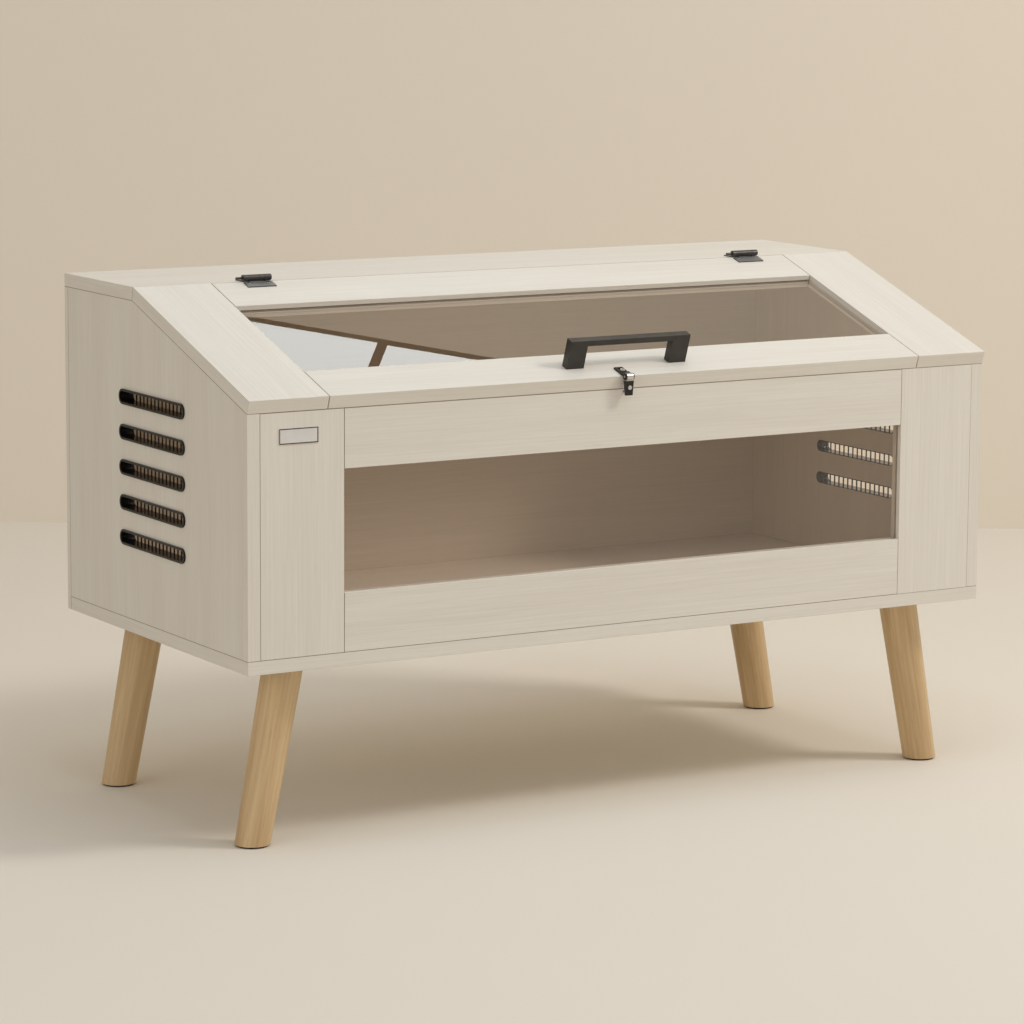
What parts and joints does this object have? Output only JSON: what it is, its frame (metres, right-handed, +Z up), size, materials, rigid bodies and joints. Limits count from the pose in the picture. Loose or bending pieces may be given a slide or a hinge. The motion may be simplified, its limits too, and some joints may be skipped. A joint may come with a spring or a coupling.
{
  "type": "terrarium cabinet",
  "caption": "Pale wooden terrarium cabinet on splayed legs, with a glazed front, barred vents in its ends and a sloping glazed lid hinged at the ridge and closed by a small swinging latch.",
  "frame": {"origin": "on the floor under the middle of the whole outline", "axes": "+X to the right along the front, +Y from the front to the back, +Z up; the lid's ridge and both joint axes run along X"},
  "size_m": [0.954, 0.4636, 0.5875],
  "materials": {
    "white_board": "white-washed wood-grain laminate, satin",
    "clear_pane": "clear sheet, polished",
    "black_plastic": "moulded, low sheen",
    "leg_wood": "natural turned wood, satin varnish",
    "zinc_steel": "zinc plated",
    "pad": "dark floor pad",
    "black_metal": "black coated, semi-gloss",
    "handle_black": "matte black coated",
    "plate_metal": "brushed, bare",
    "bright_metal": "bright nickel plated",
    "dowel_wood": "plain fluted dowel"
  },
  "bodies": {
    "cabinet": {"base_board": "white_board", "left_side_panel": "white_board", "right_side_panel": "white_board", "back_panel": "white_board", "top_board": "white_board", "left_slope_panel": "white_board", "right_slope_panel": "white_board", "front_left_post": "white_board", "front_right_post": "white_board", "front_top_rail": "white_board", "front_bottom_rail": "white_board", "front_pane": "clear_pane", "left_vent_grille_1": "black_plastic", "left_vent_grille_2": "black_plastic", "left_vent_grille_3": "black_plastic", "left_vent_grille_4": "black_plastic", "left_vent_grille_5": "black_plastic", "right_vent_grille_1": "black_plastic", "right_vent_grille_2": "black_plastic", "right_vent_grille_3": "black_plastic", "right_vent_grille_4": "black_plastic", "right_vent_grille_5": "black_plastic", "leg_front_left": "leg_wood", "leg_front_right": "leg_wood", "leg_rear_left": "leg_wood", "leg_rear_right": "leg_wood", "leg_plate_front_left": "zinc_steel", "leg_plate_front_right": "zinc_steel", "leg_plate_rear_left": "zinc_steel", "leg_plate_rear_right": "zinc_steel", "hanger_bolts": "zinc_steel", "leg_plate_screws": "zinc_steel", "leg_glides": "pad", "left_hinge_body_leaf": "black_metal", "left_hinge_pin": "black_metal", "right_hinge_body_leaf": "black_metal", "right_hinge_pin": "black_metal", "hinge_body_screws": "bright_metal", "name_plate": "plate_metal", "latch_keeper": "zinc_steel", "base_screws": "zinc_steel", "back_screws": "zinc_steel", "roof_dowels": "dowel_wood", "front_dowels": "dowel_wood"},
    "lid": {"lid_top_rail": "white_board", "lid_bottom_rail": "white_board", "lid_pane": "clear_pane", "left_hinge_lid_leaf": "black_metal", "right_hinge_lid_leaf": "black_metal", "hinge_lid_screws": "bright_metal", "lid_handle": "handle_black", "handle_screws": "zinc_steel", "latch_plate": "black_metal", "latch_plate_screw": "bright_metal", "latch_pin": "bright_metal"},
    "latch": {"latch_barrel": "bright_metal", "latch_strap": "black_metal", "latch_rivet": "bright_metal"}
  },
  "joints": [
    {"name": "lid_hinge", "type": "hinge", "parent": "cabinet", "child": "lid", "pos_m": [0, 0.05216, 0.58395], "axis": [-1, 0, 0], "range_deg": [0, 200]},
    {"name": "latch_swing", "type": "hinge", "parent": "lid", "child": "latch", "pos_m": [-0.0145, -0.22781, 0.4865], "axis": [-1, 0, 0], "range_deg": [-8, 200]}
  ]
}
